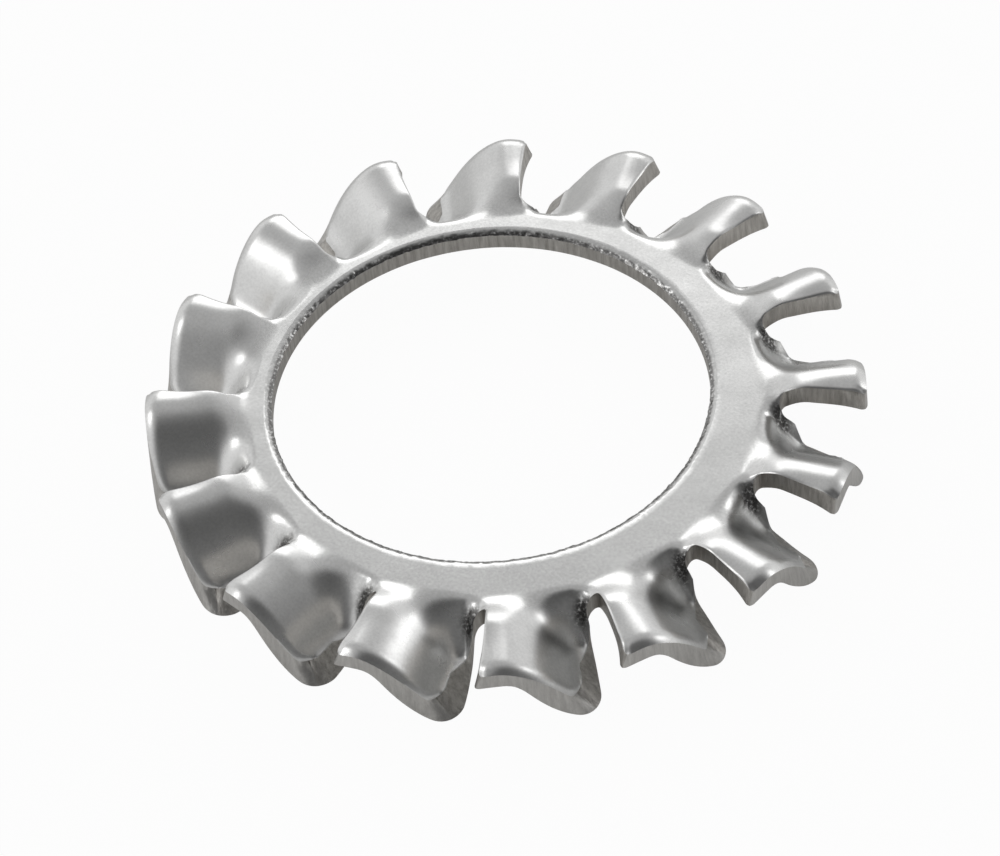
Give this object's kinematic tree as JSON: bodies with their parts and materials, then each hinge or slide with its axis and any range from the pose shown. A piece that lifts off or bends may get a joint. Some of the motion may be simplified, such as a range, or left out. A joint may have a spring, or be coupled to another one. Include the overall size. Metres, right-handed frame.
{
  "type": "toothed lock washer",
  "caption": "Flat ring washer with twisted external teeth around its rim that bite under a bolt head or nut to keep it from working loose.",
  "frame": {"origin": "on the bore's axis, at half the thickness of the flat ring", "axes": "+Z along the bore's axis, to the side where the teeth's raised edges stand; +X from the bore's axis to the centre of the circle of teeth, where the ring is widest"},
  "size_m": [0.0213, 0.0212, 0.0025],
  "materials": {
    "bright_steel": "bright stamped spring steel, satin with polished bends"
  },
  "bodies": {
    "root": {"lock_washer": "bright_steel"}
  },
  "joints": []
}
